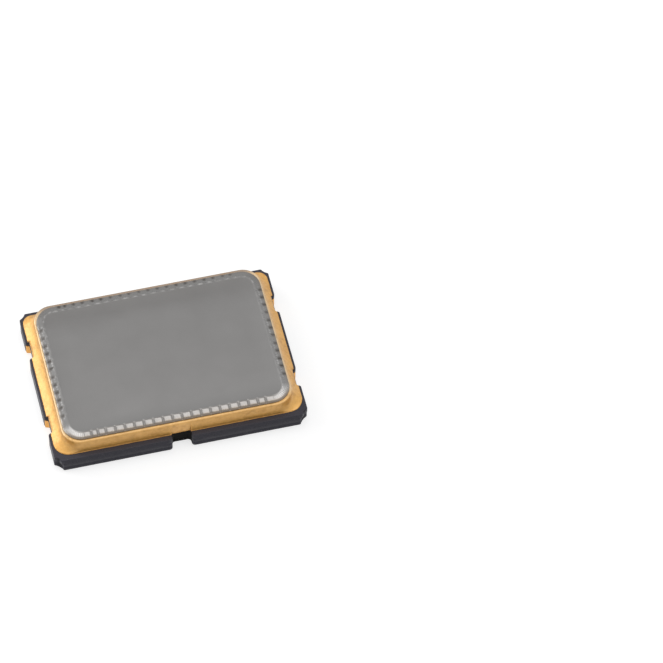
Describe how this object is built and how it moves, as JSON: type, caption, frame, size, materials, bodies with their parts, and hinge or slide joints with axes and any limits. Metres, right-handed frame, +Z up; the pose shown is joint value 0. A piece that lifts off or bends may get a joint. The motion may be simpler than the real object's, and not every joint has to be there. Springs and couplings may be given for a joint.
{
  "type": "crystal oscillator",
  "caption": "Surface-mount crystal oscillator: dark ceramic base with gold solder terminals, a brazed seal ring and a seam-welded metal lid over a quartz crystal and its oscillator die.",
  "frame": {"origin": "Centre of the package's outline, on the plane of the solder pads' undersides, which is the surface of the circuit board.", "axes": "+X along the long side, towards the end whose first terminal has a cut corner; +Y along the short side; +Z up through the lid."},
  "size_m": [0.007, 0.005, 0.001],
  "materials": {
    "black_ceramic": "matte, fine-grained",
    "pad_gold": "matte electroplated gold",
    "gold_plate": "satin electroplated gold",
    "nickel_lid": "satin nickel plate",
    "index_mark": "matte",
    "quartz": "lapped",
    "silver_film": "evaporated film",
    "conductive_adhesive": "matte, silver-filled",
    "silicon": "polished",
    "aluminium_film": "bright film",
    "gold_wire": "bright drawn wire"
  },
  "bodies": {
    "root": {"ceramic_base": "black_ceramic", "terminal_1": "pad_gold", "terminal_2": "pad_gold", "terminal_3": "pad_gold", "terminal_4": "pad_gold", "index_mark": "index_mark", "seal_metal": "gold_plate", "braze_fillet": "gold_plate", "seal_ring": "gold_plate", "lid": "nickel_lid", "crystal_blank": "quartz", "electrode_top": "silver_film", "electrode_bottom": "silver_film", "adhesive_dots": "conductive_adhesive", "crystal_trace_a": "gold_plate", "crystal_trace_b": "gold_plate", "lead_1": "gold_plate", "lead_2": "gold_plate", "lead_3": "gold_plate", "lead_4": "gold_plate", "oscillator_die": "silicon", "die_attach": "conductive_adhesive", "die_bond_pads": "aluminium_film", "bond_wires": "gold_wire"}
  },
  "joints": []
}
